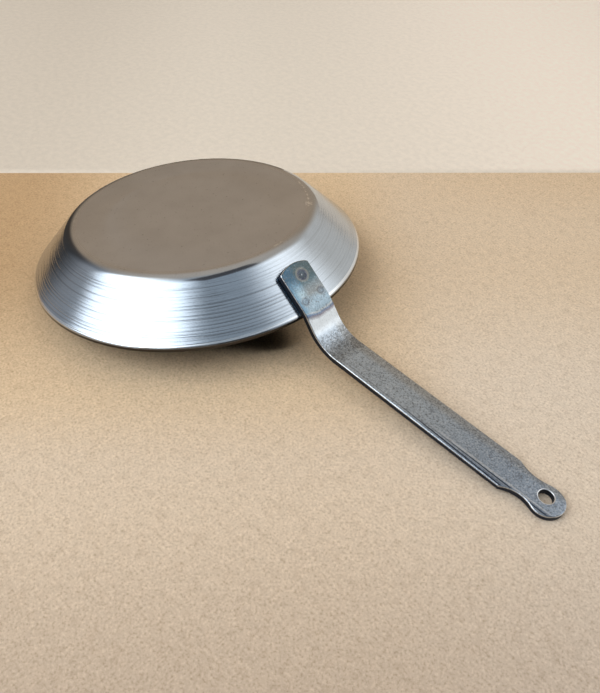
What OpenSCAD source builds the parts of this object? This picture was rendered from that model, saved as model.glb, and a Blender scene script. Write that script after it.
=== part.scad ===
// Shallow steel omelette pan lying upside down, with a flat strip handle spot welded to its wall.
// Each piece is drawn in the pan's own frame: the rim lies on z = 0, the base is above it and the
// handle runs along +X. laid_down() then sets the piece on the table, where the pan rests on the
// rim opposite the handle and on the tip of the handle.

/* [Pan] */
// Outer diameter at the rim
rim_d = 240; // [216:2:280]
// Diameter of the flat part of the base
base_d = 167; // [140:1:187]
// Height from the rim to the outer face of the base
pan_h = 35; // [28:0.5:45]
// Thickness of the sheet
sheet = 2.2; // [1.5:0.1:3]
// Outer radius of the bend from base to wall
corner_r = 11.5; // [6:0.5:14]
// Radius that takes the sharpness off the cut rim
rim_round = 0.3; // [0.1:0.1:0.4]

/* [Handle strip] */
// Width of the strip
strip_w = 24.5; // [20:0.5:32]
// Thickness of the strip
strip_t = 4.5; // [3.5:0.1:6]
// Length of the tab on the wall, measured from the rim
tab_l = 32; // [30:0.5:36]
// Radius of the rounded end of the tab
tab_end_r = 24; // [16:1:60]
// Radius of the two corners of the tab
tab_corner_r = 2; // [1:0.5:4]
// Angle by which the short stretch past the rim is steeper than the wall
steep_turn = 15; // [10:1:18]
// Length of that stretch between the corner points of its bends
steep_l = 26.5; // [22:0.5:34]
// Slope of the long straight stretch, from the plane of the rim
grip_angle = 11; // [8:0.5:14]
// Clearance between the strip and the rim it passes
rim_gap = 0.2; // [0.1:0.1:1]
// Inner radius of the bend at the rim
rim_bend_r = 22; // [15:1:25]
// Inner radius of the bend into the long stretch
grip_bend_r = 28; // [20:1:30]
// Length of the long stretch from the corner of its bend to the tip
grip_l = 173; // [150:1:200]

/* [Handle end] */
// Diameter of the round eye
eye_d = 21.6; // [18:0.1:24]
// Width at the narrowest point of the neck
neck_w = 17; // [15:0.1:18]
// Radius of the hollow on each side of the neck
neck_r = 20; // [16:1:30]
// Slope of the shoulders
shoulder_angle = 27; // [20:1:32]
// Diameter of the hanging hole
hole_d = 9; // [8:0.1:10]
// Distance of the hanging hole from the centre of the eye, towards the pan
hole_in = 1.2; // [0:0.1:2]
// Distance of the hanging hole from the centre line
hole_off = 1.3; // [0:0.1:1.5]
// Angle of the bevels on the face away from the table
bevel_angle = 16; // [10:1:20]
// Width of each bevel at the tip
bevel_w = 4.9; // [3:0.1:6]
// Distance from the bend to where the bevels run out
bevel_start = 20; // [18:1:40]

/* [Spot welds] */
// Gap between the wall and the tab on the centre line
weld_gap = 0.4; // [0.2:0.1:0.8]
// Diameter of each weld
weld_d = 6; // [4:0.5:7]
// Distance up the wall from the rim to the single weld
weld_far = 22.5; // [18:0.5:25]
// Distance of the single weld from the centre line
weld_off = 2.3; // [0:0.1:4]
// Distance up the wall from the rim to the right weld of the pair
weld_near = 8; // [7.5:0.5:10]
// How much nearer to the rim the left weld of the pair sits
pair_lag = 1.5; // [0:0.1:2]
// Distance of the middle of the pair from the centre line
pair_off = 0.7; // [0:0.1:1]
// Distance from each side of the strip to the pair of welds, before the pair is moved off centre
weld_side = 4.8; // [4.5:0.1:6]
// Radius of the tip that pressed each mark into the tab
dimple_r = 14; // [10:1:20]
// Depth of each mark
dimple = 0.35; // [0.1:0.05:0.5]

/* [Hidden] */
rim_r = rim_d / 2;
base_r = base_d / 2;
round_fn = 180;
arc_fn = 96;
bend_fn = 240;
fine_fn = 720;
arc_steps = 12;
cut_past = 1;
shoulder_kink = 4;
side_angle = 105;
join_flat = 0.04;

// The bend centre of the base corner, and the wall as the tangent from the rim to that bend
corner_x = base_r;
corner_z = pan_h - corner_r;
inner_r = corner_r - sheet;
reach = sqrt(pow(rim_r - corner_x, 2) + pow(corner_z, 2));
wall_n = atan2(-corner_z, rim_r - corner_x) + acos(inner_r / reach);
wall_fall = 90 - wall_n;
rim_h = sheet / sin(wall_n);
wall_c = corner_x * cos(wall_n) + corner_z * sin(wall_n) + corner_r;
past_x = (wall_c - sheet + cut_past * sin(wall_n)) / cos(wall_n);

// The strip follows the wall, then a steep line past the rim, then the long grip line.
// Directions run towards the tip, and normals point away from the table.
wall_dir = [sin(wall_n), -cos(wall_n)];
wall_up = [cos(wall_n), sin(wall_n)];
steep_angle = wall_fall + steep_turn;
steep_n = 90 - steep_angle;
steep_dir = [sin(steep_n), -cos(steep_n)];
grip_n = 90 - grip_angle;
grip_dir = [sin(grip_n), -cos(grip_n)];
grip_up = [cos(grip_n), sin(grip_n)];

// Corner points of the strip's lower face and upper face
tab_c = wall_c + weld_gap;
steep_c = rim_r * cos(steep_n) + rim_h * sin(steep_n) + rim_gap;
tab_end = [rim_r, rim_h] - tab_l * wall_dir + weld_gap * wall_up;
rim_corner = meet(wall_n, tab_c, steep_n, steep_c);
rim_top = meet(wall_n, tab_c + strip_t, steep_n, steep_c + strip_t);
grip_corner = rim_corner + steep_l * steep_dir;
grip_top = meet(steep_n, steep_c + strip_t, grip_n, grip_corner * grip_up + strip_t);
tip = grip_corner + grip_l * grip_dir;

// Places of the welds: distance up the wall from the rim, and distance from the centre line
pair_half = strip_w / 2 - weld_side;
top_spot = [weld_far, weld_off];
left_spot = [weld_near - pair_lag, pair_off - pair_half];
right_spot = [weld_near, pair_off + pair_half];

// Stations along the long stretch, measured from its corner point
eye_r = eye_d / 2;
eye_s = grip_l - eye_r;
neck_half = neck_w / 2;
neck_s = eye_s - sqrt(pow(neck_r + eye_r, 2) - pow(neck_half + neck_r, 2));
taper_s = neck_s - neck_r * sin(shoulder_angle + shoulder_kink);
taper_half = neck_half + neck_r * (1 - cos(shoulder_angle + shoulder_kink));
waste_s = taper_s - (strip_w / 2 + cut_past - taper_half) / tan(shoulder_angle);
join = eye_r / (neck_r + eye_r);
join_s = eye_s + join * (neck_s - eye_s);
join_half = join * (neck_half + neck_r) - join_flat;

// The table line touches the rounded rim opposite the handle and the tip of the handle
rim_half = wall_n / 2;
foot = rim_foot(-1);
foot_reach = norm(tip - foot);
tilt = -atan2(tip[1] - foot[1], tip[0] - foot[0]) - asin(rim_round / foot_reach);
back = (rim_r + tip[0]) * cos(tilt) + (rim_h - tip[1]) * sin(tilt);
front = strip_t * sin(grip_angle - tilt);
tip_x = (back - front) / 2;

// Where two lines meet, each given by the angle of its normal and its distance from the origin
function meet(a, p, b, q) =
    [p * sin(b) - q * sin(a), q * cos(a) - p * cos(b)] / sin(b - a);

// Length that a rounding of radius r takes off each edge of a corner, and where its centre lies
function round_leg(d1, d2, r) = r / tan(acos(d1 * d2) / 2);
function round_mid(p, d1, d2, r) = p + (d1 + d2) / norm(d1 + d2) * r / sin(acos(d1 * d2) / 2);

// Centre of the rounding at the lowest edge of the rim, on one side
function rim_foot(side) =
    [side * (rim_r - rim_round), rim_round / tan(rim_half)];

// Sets a piece drawn in the pan's frame on the table
module laid_down() {
    translate([tip_x, 0, 0])
        rotate([0, -tilt, 0])
            translate([-tip[0], 0, -tip[1]])
                children();
}

// Area of an XZ section swept across the handle, centred on y = 0
module across(w) {
    rotate([90, 0, 0])
        translate([0, 0, -w / 2])
            linear_extrude(height = w)
                children();
}

// Local frame on the wall: x = 0 at the rim and falls up the wall, z points away from the wall
module on_wall() {
    translate([rim_r, 0, rim_h])
        rotate([0, wall_fall, 0])
            children();
}

// Local frame on the long stretch: x along it from its corner point, z = 0 at its lower face
module on_grip() {
    translate([grip_corner[0], 0, grip_corner[1]])
        rotate([0, grip_angle, 0])
            children();
}

// Piece cut off an outer corner p by a rounding of radius r: d1 and d2 are the corner's edges
module corner_waste(p, d1, d2, r) {
    mid = round_mid(p, d1, d2, r);
    leg = round_leg(d1, d2, r);
    past = p - cut_past * (d1 + d2) / norm(d1 + d2);
    difference() {
        polygon([past, p + leg * d1, mid, p + leg * d2]);
        translate(mid) circle(r = r, $fn = bend_fn);
    }
}

// Section of the space under one face of the sheet: r is the bend radius, c the wall line
module under_face(r, foot_pts) {
    polygon(concat(
        [[0, foot_pts[0][1]]],
        foot_pts,
        [[corner_x + r * cos(wall_n), corner_z + r * sin(wall_n)],
         [corner_x, corner_z],
         [corner_x, corner_z + r],
         [0, corner_z + r]]));
    translate([corner_x, corner_z]) circle(r = r, $fn = arc_fn);
}

// Section of the solid under the outer face, bounded by the vertical cut of the rim
module outer_section() {
    under_face(corner_r, [[rim_r, 0], [rim_r, rim_h]]);
}

module pan_body() {
    wall_rise = [-sin(wall_n), cos(wall_n)];
    color([0.66, 0.66, 0.65])
    laid_down()
        rotate_extrude($fn = round_fn)
            difference() {
                outer_section();
                under_face(inner_r, [[past_x, -cut_past]]);
                corner_waste([rim_r, rim_h], [0, -1], wall_rise, rim_round);
                corner_waste([rim_r, 0], [0, 1], wall_rise, rim_round);
            }
}

// Side view of the whole strip: inner bends are cut by a circle, outer bends lose their corner.
// Both ends run past the final outline, which is cut later.
module strip_side() {
    tab_past = tab_end - cut_past * wall_dir;
    tip_past = tip + cut_past * grip_dir;
    upper_r = rim_bend_r + strip_t;
    lower_r = grip_bend_r + strip_t;
    leg1 = round_leg(-wall_dir, steep_dir, rim_bend_r);
    leg2 = round_leg(-steep_dir, grip_dir, grip_bend_r);
    difference() {
        polygon([tab_past, rim_corner - leg1 * wall_dir, rim_corner + leg1 * steep_dir,
                 grip_corner, tip_past, tip_past + strip_t * grip_up,
                 grip_top + leg2 * grip_dir, grip_top - leg2 * steep_dir, rim_top,
                 tab_past + strip_t * wall_up]);
        translate(round_mid(rim_corner, -wall_dir, steep_dir, rim_bend_r))
            circle(r = rim_bend_r, $fn = bend_fn);
        translate(round_mid(grip_top, -steep_dir, grip_dir, grip_bend_r))
            circle(r = grip_bend_r, $fn = bend_fn);
        corner_waste(rim_top, -wall_dir, steep_dir, upper_r);
        corner_waste(grip_corner, -steep_dir, grip_dir, lower_r);
    }
}

// Outline of the handle's end seen from above. The taper line runs on into the neck's hollow,
// and starts outside the strip's edge.
module end_outline() {
    slope = [cos(shoulder_angle), -sin(shoulder_angle)];
    start = [taper_s, taper_half] - (taper_s - waste_s) / slope[0] * slope;
    past = [taper_s, taper_half] + cut_past * slope;
    difference() {
        polygon([[start[0], -start[1]], [past[0], -past[1]], [join_s, -join_half], [eye_s, 0],
                 [join_s, join_half], past, start]);
        for (side = [-1, 1])
            translate([neck_s, side * (neck_half + neck_r)]) circle(r = neck_r, $fn = round_fn);
    }
    translate([eye_s, 0]) circle(r = eye_r, $fn = arc_fn);
}

// What is cut away around the handle's end
module end_waste() {
    translate([0, 0, -cut_past])
        linear_extrude(height = strip_t + 2 * cut_past)
            difference() {
                translate([waste_s, -strip_w])
                    square([grip_l - waste_s + 2 * cut_past, 2 * strip_w]);
                end_outline();
            }
}

// Points on an arc, from one angle to another
function arc_pts(mid, r, from, to) =
    [for (k = [0:arc_steps]) let (a = from + (to - from) * k / arc_steps)
        mid + r * [cos(a), sin(a)]];

// What is cut away around the rounded end of the tab, whose corners blend into its end arc
module tab_waste() {
    half = strip_w / 2;
    inset = half - tab_corner_r;
    lead = tab_end_r - tab_corner_r;
    end_mid = [tab_end_r - tab_l, 0];
    corner_s = end_mid[0] - sqrt(pow(lead, 2) - pow(inset, 2));
    turn = asin(inset / lead);
    cut_to = corner_s + cut_past;
    translate([0, 0, weld_gap - cut_past])
        linear_extrude(height = strip_t + 2 * cut_past)
            difference() {
                translate([-tab_l - 2 * cut_past, -strip_w])
                    square([cut_to + tab_l + 2 * cut_past, 2 * strip_w]);
                polygon(concat(
                    [[cut_to + tab_corner_r, half + cut_past]],
                    arc_pts([corner_s, inset], tab_corner_r, side_angle, 180 - turn),
                    arc_pts(end_mid, tab_end_r, 180 - turn, 180 + turn),
                    arc_pts([corner_s, -inset], tab_corner_r, 180 + turn, 360 - side_angle),
                    [[cut_to + tab_corner_r, -half - cut_past]]));
            }
}

// Shallow plane cut along one long edge, running out towards the bend
module bevel_waste(side) {
    run = grip_l - bevel_start;
    turn = atan2(bevel_w, run);
    translate([bevel_start, side * strip_w / 2, strip_t])
        rotate([0, 0, -side * turn])
            rotate([-side * bevel_angle, 0, 0])
                translate([-cut_past, side > 0 ? -bevel_w : bevel_w - strip_w, 0])
                    cube([2 * run, strip_w, strip_w]);
}

// Marks pressed into the outer face of the tab over each weld
module weld_marks() {
    top_z = weld_gap + strip_t - dimple + dimple_r;
    on_wall() {
        for (spot = [top_spot, left_spot, right_spot])
            translate([-spot[0], spot[1], top_z])
                rotate([90, 0, 0]) sphere(r = dimple_r, $fn = arc_fn);
    }
}

module handle() {
    color([0.5, 0.49, 0.47])
    laid_down()
        difference() {
            across(strip_w) strip_side();
            on_wall() tab_waste();
            on_grip() {
                end_waste();
                for (side = [-1, 1]) bevel_waste(side);
                translate([eye_s - hole_in, hole_off, -cut_past])
                    cylinder(d = hole_d, h = strip_t + 2 * cut_past, $fn = arc_fn);
            }
            weld_marks();
        }
}

// One weld, from the wall to the lower face of the tab
module weld(spot) {
    color([0.45, 0.44, 0.43])
    laid_down()
        difference() {
            on_wall()
                translate([-spot[0], spot[1], -cut_past])
                    cylinder(d = weld_d, h = weld_gap + cut_past, $fn = arc_fn);
            rotate_extrude($fn = fine_fn) outer_section();
        }
}

module weld_top_spot() {
    weld(top_spot);
}

module weld_left_spot() {
    weld(left_spot);
}

module weld_right_spot() {
    weld(right_spot);
}

pan_body();
handle();
weld_top_spot();
weld_left_spot();
weld_right_spot();
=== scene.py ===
import math

import bmesh
import bpy
from mathutils import Matrix, Vector
from mathutils.geometry import delaunay_2d_cdt


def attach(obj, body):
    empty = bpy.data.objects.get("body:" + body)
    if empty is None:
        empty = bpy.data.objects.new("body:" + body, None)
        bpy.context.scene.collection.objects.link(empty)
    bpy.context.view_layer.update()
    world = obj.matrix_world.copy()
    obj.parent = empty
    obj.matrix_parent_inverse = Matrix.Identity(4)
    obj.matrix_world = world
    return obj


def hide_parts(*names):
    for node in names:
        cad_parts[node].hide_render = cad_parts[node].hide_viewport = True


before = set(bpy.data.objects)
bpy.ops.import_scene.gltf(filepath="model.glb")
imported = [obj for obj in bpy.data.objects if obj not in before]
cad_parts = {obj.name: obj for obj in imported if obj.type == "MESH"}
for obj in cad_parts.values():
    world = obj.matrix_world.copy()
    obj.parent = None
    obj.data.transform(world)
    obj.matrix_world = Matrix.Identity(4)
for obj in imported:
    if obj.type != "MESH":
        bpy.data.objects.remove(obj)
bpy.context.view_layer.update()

mm = 0.001
print("frame loaded:", sorted(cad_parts))


# Pan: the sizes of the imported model, in its own frame (rim at z = 0, base above, handle along +X)
pan = {
    "rimRadius": 120 * mm,
    "baseRadius": 83.5 * mm,
    "height": 35 * mm,
    "sheet": 2.2 * mm,
    "cornerRadius": 11.5 * mm,
    "rimRound": 0.3 * mm,
    "rimTopRound": 2.7 * mm,  # outer edge of the cut, dressed rounder than the foot
    "edgeBand": 2.6 * mm,  # last stretch of the wall, dressed over towards the cut
    "edgeDrop": 0.1 * mm,
    "edgeCurve": 2.2,  # the higher it is, the later the dressed band leaves the wall's line
    "pointGap": 0.1 * mm,
    "turns": 360,
    "cornerSteps": 40,
    "wallSteps": 24,
    "bandSteps": 9,
    "rimSteps": 12,
    "cutSteps": 4,
    "footSteps": 8,
}

# Handle: one flat strip, bent at the rim and again into the long stretch
strip = {
    "width": 24.5 * mm,
    "thick": 4.5 * mm,
    "tabLength": 32 * mm,
    "tabEndRadius": 24 * mm,
    "tabCornerRadius": 2 * mm,
    "steepTurn": math.radians(15),
    "steepLength": 26.5 * mm,
    "gripAngle": math.radians(11),
    "rimGap": 0.2 * mm,
    "weldGap": 0.4 * mm,
    "rimBendRadius": 22 * mm,
    "gripBendRadius": 28 * mm,
    "gripLength": 173 * mm,
    "eyeRadius": 10.8 * mm,
    "neckHalf": 8.5 * mm,
    "neckRadius": 20 * mm,
    "shoulderAngle": math.radians(27),
    "shoulderKink": math.radians(4),
    "holeRadius": 4.5 * mm,
    "holeIn": 1.2 * mm,
    "holeOff": 1.3 * mm,
    "bevelAngle": math.radians(16),
    "bevelWidth": 4.9 * mm,
    "bevelStart": 20 * mm,
    "bevelLead": 4 * mm,  # the crease's rounding sets in this far before it
    "creaseRound": 0.25 * mm,
    # weld marks on the tab: how far up from where it meets the rim, and across
    "markUps": [(22.5 * mm, 2.3 * mm), (6.5 * mm, -6.75 * mm), (8 * mm, 8.15 * mm)],
    "markRadius": 14 * mm,
    "markDepth": 0.35 * mm,
    "markSoft": 0.04 * mm,
    "edgeRound": 0.7 * mm,
    "holeRound": 0.5 * mm,
    "edgeStep": 0.8 * mm,  # spacing of the points along the long sides, then on the flat faces
    "gridStep": 0.9 * mm,
    # nearest that grid points and crease rows come to the edge, then to a crease and to the hole
    "gridGap": 0.75 * mm,
    "rowGap": 0.55 * mm,
    "creaseGap": 0.5 * mm,
    "holeGap": 1 * mm,
    "searchReach": 2 * mm,  # edge points farther along the strip than this aren't compared
    "supportIn": 0.25 * mm,
    "roundSteps": 5,
    "tabSteps": 22,
    "cornerSteps": 8,
    "taperSteps": 5,
    "neckSteps": 26,
    "eyeSteps": 44,
    "holeSteps": 72,
}


# Where two lines meet, each given by the angle of its normal and its distance from the origin
def meetPoint(a, p, b, q):
    turn = math.sin(b - a)
    return Vector(((p * math.sin(b) - q * math.sin(a)) / turn,
                   (q * math.cos(a) - p * math.cos(b)) / turn))


def unitAt(angle):
    return Vector((math.cos(angle), math.sin(angle)))


# The wall's line is the tangent from the rim to the inner side of the bend
cornerX = pan["baseRadius"]
cornerZ = pan["height"] - pan["cornerRadius"]
innerRadius = pan["cornerRadius"] - pan["sheet"]
reach = math.hypot(pan["rimRadius"] - cornerX, cornerZ)
wallNormal = math.atan2(-cornerZ, pan["rimRadius"] - cornerX) + math.acos(innerRadius / reach)
wallOut = unitAt(wallNormal)
wallDown = Vector((math.sin(wallNormal), -math.cos(wallNormal)))
rimHeight = pan["sheet"] / math.sin(wallNormal)
wallLine = cornerX * wallOut.x + cornerZ * wallOut.y + pan["cornerRadius"]

# The strip's corner points on its lower face, and where the table touches the tip and the rim
steepNormal = wallNormal - strip["steepTurn"]
gripNormal = math.pi / 2 - strip["gripAngle"]
steepDown = Vector((math.sin(steepNormal), -math.cos(steepNormal)))
gripAlong = Vector((math.sin(gripNormal), -math.cos(gripNormal)))
steepLine = (pan["rimRadius"] * math.cos(steepNormal) + rimHeight * math.sin(steepNormal)
             + strip["rimGap"])
rimCorner = meetPoint(wallNormal, wallLine + strip["weldGap"], steepNormal, steepLine)
gripCorner = rimCorner + strip["steepLength"] * steepDown
tipPoint = gripCorner + strip["gripLength"] * gripAlong
rimFoot = Vector((pan["rimRound"] - pan["rimRadius"], pan["rimRound"] / math.tan(wallNormal / 2)))
footToTip = tipPoint - rimFoot
tilt = -math.atan2(footToTip.y, footToTip.x) - math.asin(pan["rimRound"] / footToTip.length)
backReach = ((pan["rimRadius"] + tipPoint.x) * math.cos(tilt)
             + (rimHeight - tipPoint.y) * math.sin(tilt))
tipX = (backReach - strip["thick"] * math.sin(strip["gripAngle"] - tilt)) / 2
laidDown = (Matrix.Translation((tipX, 0, 0)) @ Matrix.Rotation(-tilt, 4, "Y")
            @ Matrix.Translation((-tipPoint.x, 0, -tipPoint.y)))


def addObject(name, data):
    made = bpy.data.objects.new(name, data)
    bpy.context.scene.collection.objects.link(made)
    return made


# The place marks are kept on the points for the materials: one value or vector a point, in millimetres
def addPiece(name, points, faces, material, nodes, placeMarks):
    mesh = bpy.data.meshes.new(name)
    mesh.from_pydata(points, [], faces)
    mesh.validate()
    clean = bmesh.new()
    clean.from_mesh(mesh)
    bmesh.ops.recalc_face_normals(clean, faces=clean.faces)
    clean.to_mesh(mesh)
    clean.free()
    mesh.polygons.foreach_set("use_smooth", [True] * len(mesh.polygons))
    mesh.transform(laidDown)
    mesh.materials.append(material)
    for markName, values in placeMarks.items():
        if isinstance(values[0], tuple):
            layer = mesh.attributes.new(markName, "FLOAT_VECTOR", "POINT")
            layer.data.foreach_set("vector", [part for value in values for part in value])
        else:
            layer = mesh.attributes.new(markName, "FLOAT", "POINT")
            layer.data.foreach_set("value", values)
    piece = addObject(name, mesh)
    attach(piece, "root")
    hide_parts(*nodes)
    return piece


# Points on an arc in the XZ section or on the strip's plan
def arcPoints(mid, radius, start, end, steps):
    return [mid + radius * unitAt(start + (end - start) * k / steps) for k in range(steps + 1)]


# Closed outline of the sheet's section, from the middle of the base outside to its middle inside
def panSection():
    corner = Vector((cornerX, cornerZ))
    flatRadii = [0.4 * mm, 20 * mm, 50 * mm, cornerX - 4 * mm, cornerX - 0.5 * mm]
    outer = [Vector((r, pan["height"])) for r in flatRadii]
    outer += arcPoints(corner, pan["cornerRadius"], math.pi / 2, wallNormal, pan["cornerSteps"])
    start = outer[-1]
    rimTop = Vector((pan["rimRadius"], rimHeight))
    bandTop = rimTop - pan["edgeBand"] * wallDown
    for k in range(1, pan["wallSteps"] + 1):
        outer.append(start.lerp(bandTop, k / pan["wallSteps"]))
    for k in range(1, pan["bandSteps"]):
        share = k / pan["bandSteps"]
        along = bandTop.lerp(rimTop, share)
        outer.append(along - pan["edgeDrop"] * share ** pan["edgeCurve"] * wallOut)
    soft = pan["rimRound"]
    dressed = pan["rimTopRound"]
    back = dressed * math.tan(wallNormal / 2)  # the rounding leaves the wall this far before its end
    outer = [p for p in outer if (rimTop - p).dot(wallDown) > back + pan["pointGap"]]
    topMid = Vector((pan["rimRadius"] - dressed, rimTop.y - back - pan["edgeDrop"]))
    outer += arcPoints(topMid, dressed, wallNormal, 0, pan["rimSteps"])
    footMid = Vector((pan["rimRadius"] - soft, soft / math.tan(wallNormal / 2)))
    outer += [Vector((pan["rimRadius"], topMid.y + (footMid.y - topMid.y) * k / pan["cutSteps"]))
              for k in range(1, pan["cutSteps"])]
    outer += arcPoints(footMid, soft, 0, wallNormal - math.pi, pan["footSteps"])
    inner = []
    footEnd = outer[-1]
    bendStart = corner + innerRadius * wallOut
    for k in range(1, pan["wallSteps"]):
        inner.append(footEnd.lerp(bendStart, k / pan["wallSteps"]))
    inner += arcPoints(corner, innerRadius, wallNormal, math.pi / 2, pan["cornerSteps"])
    floorZ = pan["height"] - pan["sheet"]
    inner += [Vector((r, floorZ)) for r in reversed(flatRadii)]
    return outer + inner


def buildPan(material):
    section = panSection()
    turns = pan["turns"]
    runs = [section[0].x / mm]
    for here, there in zip(section, section[1:]):
        runs.append(runs[-1] + (there - here).length / mm)
    points = []
    for k in range(turns):
        spin = 2 * math.pi * k / turns
        points += [(p.x * math.cos(spin), p.x * math.sin(spin), p.y) for p in section]
    places = [(x / mm, y / mm, z / mm) for x, y, z in points]
    count = len(section)
    faces = []
    for k in range(turns):
        here, there = k * count, ((k + 1) % turns) * count
        faces += [(here + j, here + j + 1, there + j + 1, there + j) for j in range(count - 1)]
    faces.append([k * count for k in range(turns)])
    faces.append([k * count + count - 1 for k in range(turns)])
    return addPiece("pressedPan", points, faces, material, ["pan_body"],
                    {"panPlace": places, "panRun": runs * turns})


# The strip's lower face as stretches of a path: start point, heading, length, and turn per length
def stripPath():
    legRim = strip["rimBendRadius"] / math.tan((math.pi - strip["steepTurn"]) / 2)
    lowerRadius = strip["gripBendRadius"] + strip["thick"]
    bendTurn = gripNormal - steepNormal
    legGrip = lowerRadius / math.tan((math.pi - bendTurn) / 2)
    tabEnd = (Vector((pan["rimRadius"], rimHeight)) - strip["tabLength"] * wallDown
              + strip["weldGap"] * wallOut)
    stretches = []
    first = (rimCorner - tabEnd).dot(wallDown) - legRim
    stretches.append((tabEnd, wallNormal, first, 0.0))
    stretches.append((tabEnd + first * wallDown, wallNormal, strip["rimBendRadius"] * strip["steepTurn"],
                      -1 / strip["rimBendRadius"]))
    steepStart = rimCorner + legRim * steepDown
    stretches.append((steepStart, steepNormal, strip["steepLength"] - legRim - legGrip, 0.0))
    stretches.append((gripCorner - legGrip * steepDown, steepNormal, lowerRadius * bendTurn,
                      1 / lowerRadius))
    stretches.append((gripCorner + legGrip * gripAlong, gripNormal, strip["gripLength"] - legGrip, 0.0))
    placed = []
    at = 0.0
    for start, normal, length, turning in stretches:
        placed.append((at, start, normal, length, turning))
        at += length
    return placed, placed[-1][0] - legGrip


pathStretches, gripZero = stripPath()
pathLength = pathStretches[-1][0] + pathStretches[-1][3]


# Point in the pan's frame for a place on the strip: u along it, v across it, z above its lower face
def onStrip(u, v, z):
    for at, start, normal, length, turning in pathStretches:
        if u <= at + length or at == pathStretches[-1][0]:
            break
    gone = u - at
    if turning == 0:
        heading = Vector((math.sin(normal), -math.cos(normal)))
        foot = start + gone * heading
        out = unitAt(normal)
    else:
        radius = 1 / turning  # positive where the bend's centre is above the strip
        mid = start + radius * unitAt(normal)
        angle = normal + gone * turning
        out = unitAt(angle)
        foot = mid - radius * out
    place = foot + z * out
    return (place.x, v, place.y)


# Outline of the strip in plan, (u, v), as one closed loop of points with even spacing
def stripOutline():
    half = strip["width"] / 2
    soft = strip["tabCornerRadius"]
    inset = half - soft
    lead = strip["tabEndRadius"] - soft
    endMid = Vector((strip["tabEndRadius"], 0))
    cornerU = endMid.x - math.sqrt(lead ** 2 - inset ** 2)
    turn = math.asin(inset / lead)
    side = arcPoints(endMid, strip["tabEndRadius"], math.pi, math.pi - turn, strip["tabSteps"])
    cornerMid = Vector((cornerU, inset))
    side += arcPoints(cornerMid, soft, math.pi - turn, math.pi / 2, strip["cornerSteps"])[1:]
    eyeS = strip["gripLength"] - strip["eyeRadius"]
    neckMidV = strip["neckHalf"] + strip["neckRadius"]
    neckS = eyeS - math.sqrt((strip["neckRadius"] + strip["eyeRadius"]) ** 2 - neckMidV ** 2)
    reachAngle = strip["shoulderAngle"] + strip["shoulderKink"]
    taperS = neckS - strip["neckRadius"] * math.sin(reachAngle)
    taperV = neckMidV - strip["neckRadius"] * math.cos(reachAngle)
    shoulderS = taperS - (half - taperV) / math.tan(strip["shoulderAngle"])
    straightEnd = gripZero + shoulderS
    steps = int((straightEnd - cornerU) / strip["edgeStep"])
    side += [Vector((cornerU + (straightEnd - cornerU) * k / steps, half)) for k in range(1, steps + 1)]
    for k in range(1, strip["taperSteps"] + 1):
        side.append(Vector((gripZero + shoulderS + (taperS - shoulderS) * k / strip["taperSteps"],
                            half + (taperV - half) * k / strip["taperSteps"])))
    neckMid = Vector((gripZero + neckS, neckMidV))
    eyeMid = Vector((gripZero + eyeS, 0))
    towardEye = math.atan2(-neckMidV, eyeS - neckS)
    side += arcPoints(neckMid, strip["neckRadius"], -math.pi / 2 - reachAngle, towardEye,
                      strip["neckSteps"])[1:]
    side += arcPoints(eyeMid, strip["eyeRadius"], math.pi + towardEye, 0, strip["eyeSteps"])[1:]
    mirrored = [Vector((p.x, -p.y)) for p in reversed(side[1:-1])]
    return side + mirrored, eyeMid


# Normals of a closed loop that runs clockwise in plan, pointing outwards
def loopNormals(loop):
    normals = []
    for k in range(len(loop)):
        along = (loop[(k + 1) % len(loop)] - loop[k - 1]).normalized()
        normals.append(Vector((-along.y, along.x)))
    return normals


# Smooth rise of a ramp that starts at zero: flat, then a short curve, then a straight slope
def softRamp(distance, soft):
    if distance <= -soft:
        return 0.0
    if distance >= soft:
        return distance
    return (distance + soft) ** 2 / (4 * soft)


bevelTurn = math.atan2(strip["bevelWidth"], strip["gripLength"] - strip["bevelStart"])
bevelZero = gripZero + strip["bevelStart"]


# How far a place lies beyond the crease of the bevel on its side
def pastCrease(u, v):
    return (abs(v) - strip["width"] / 2) * math.cos(bevelTurn) + (u - bevelZero) * math.sin(bevelTurn)


def topFace(u, v):
    z = strip["thick"]
    if u > bevelZero - strip["bevelLead"]:
        z -= softRamp(pastCrease(u, v), strip["creaseRound"]) * math.tan(strip["bevelAngle"])
    if u < strip["tabLength"]:
        for up, side in strip["markUps"]:
            away = math.hypot(u - (strip["tabLength"] - up), v - side)
            sink = math.sqrt(max(strip["markRadius"] ** 2 - away ** 2, 0))
            z -= softRamp(sink - (strip["markRadius"] - strip["markDepth"]), strip["markSoft"])
    return z


def insideLoop(point, loop):
    inside = False
    for k in range(len(loop)):
        a, b = loop[k - 1], loop[k]
        if (a.y > point.y) != (b.y > point.y):
            if point.x < (b.x - a.x) * (point.y - a.y) / (b.y - a.y) + a.x:
                inside = not inside
    return inside


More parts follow.
